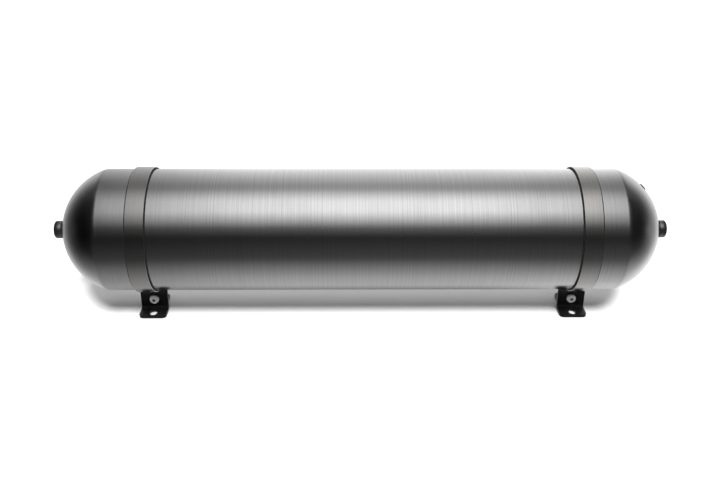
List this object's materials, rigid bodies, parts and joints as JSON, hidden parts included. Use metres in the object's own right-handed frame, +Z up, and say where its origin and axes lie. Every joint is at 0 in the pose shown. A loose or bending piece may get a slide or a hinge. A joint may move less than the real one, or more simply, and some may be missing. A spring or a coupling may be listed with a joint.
{
  "type": "air receiver tank",
  "caption": "Horizontal compressed-air receiver: a cylinder with domed ends, threaded port plugs, and rubber-lined band clamps on slotted angle feet.",
  "frame": {"origin": "on the floor under the middle of the tank, at the centre of the undersides of the feet", "axes": "+X along the tank towards the end with the gauge port, +Z up, the front is -Y"},
  "size_m": [0.7692, 0.1578, 0.191],
  "materials": {
    "shell": "spun and brushed round the tank, uncoated",
    "plug": "black anodised, satin",
    "rubber": "matt black rubber",
    "band": "satin stainless steel strip",
    "coated": "black powder coat on steel",
    "zinc": "bright zinc plate",
    "nylon": "natural nylon"
  },
  "bodies": {
    "tank": {"tank_shell": "shell"},
    "seal_left": {"end_plug_oring_left": "rubber"},
    "plug_left": {"end_plug_left": "plug"},
    "seal_right": {"end_plug_oring_right": "rubber"},
    "plug_right": {"end_plug_right": "plug"},
    "gauge_plug": {"gauge_port_plug": "plug"},
    "clamp_left": {"clamp_band_left": "band", "clamp_liner_left": "rubber", "foot_front_left": "coated", "foot_rear_left": "coated", "clamp_bolt_left": "zinc", "bolt_washer_left": "zinc", "nut_washer_left": "zinc", "clamp_nut_left": "zinc", "nut_insert_left": "nylon"},
    "clamp_right": {"clamp_band_right": "band", "clamp_liner_right": "rubber", "foot_front_right": "coated", "foot_rear_right": "coated", "clamp_bolt_right": "zinc", "bolt_washer_right": "zinc", "nut_washer_right": "zinc", "clamp_nut_right": "zinc", "nut_insert_right": "nylon"}
  },
  "joints": [
    {"name": "plug_left_travel", "type": "slide", "parent": "tank", "child": "seal_left", "axis": [-1, 0, 0], "range_m": [0, 0.0143]},
    {"name": "plug_left_turn", "type": "hinge", "parent": "seal_left", "child": "plug_left", "pos_m": [-0.37185, 0, 0.112], "axis": [-1, 0, 0], "range_deg": [0, 3240]},
    {"name": "plug_right_travel", "type": "slide", "parent": "tank", "child": "seal_right", "axis": [1, 0, 0], "range_m": [0, 0.0143]},
    {"name": "plug_right_turn", "type": "hinge", "parent": "seal_right", "child": "plug_right", "pos_m": [0.37185, 0, 0.112], "axis": [1, 0, 0], "range_deg": [0, 3240]},
    {"name": "gauge_plug_slide", "type": "slide", "parent": "tank", "child": "gauge_plug", "axis": [0.7133, 0.0367, 0.6999], "range_m": [0, 0.0075]},
    {"name": "clamp_left_slide", "type": "slide", "parent": "tank", "child": "clamp_left", "axis": [1, 0, 0], "range_m": [-0.0335, 0.18]},
    {"name": "clamp_right_slide", "type": "slide", "parent": "tank", "child": "clamp_right", "axis": [-1, 0, 0], "range_m": [-0.028, 0.185]}
  ],
  "couplings": [
    {"joint": "plug_left_travel", "follows": "plug_left_turn", "m_per_rad": 0.00025266},
    {"joint": "plug_right_travel", "follows": "plug_right_turn", "m_per_rad": 0.00025266}
  ]
}
